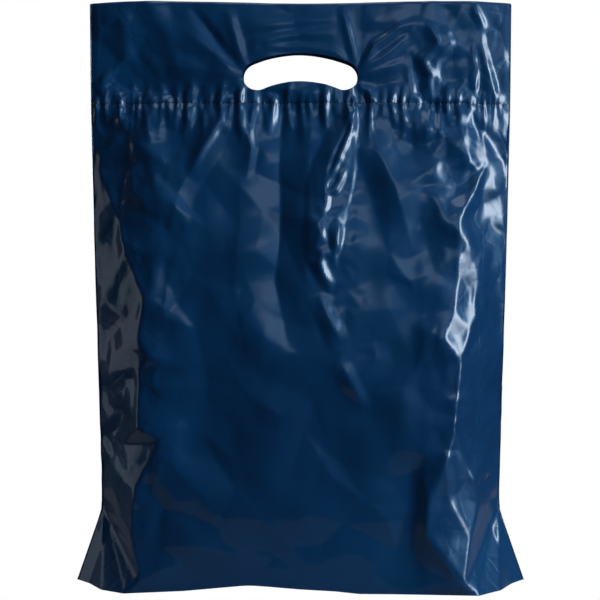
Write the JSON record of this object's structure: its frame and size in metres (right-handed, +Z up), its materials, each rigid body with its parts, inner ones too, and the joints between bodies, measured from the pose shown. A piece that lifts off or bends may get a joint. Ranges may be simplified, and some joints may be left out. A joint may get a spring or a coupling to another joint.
{
  "type": "plastic carrier bag",
  "caption": "Blue film carrier bag with a turned-over top, a punched hand hole and a bottom gusset, filled out and standing on its base.",
  "frame": {"origin": "on the ground, under the middle of the bag", "axes": "+Z up, from the base to the mouth; +X along the bag's width, to the right seen from the front; the front panel faces -Y"},
  "size_m": [0.4, 0.122, 0.518],
  "materials": {
    "film": "glossy navy polyethylene film, creased"
  },
  "bodies": {
    "root": {"bag": "film"}
  },
  "joints": []
}
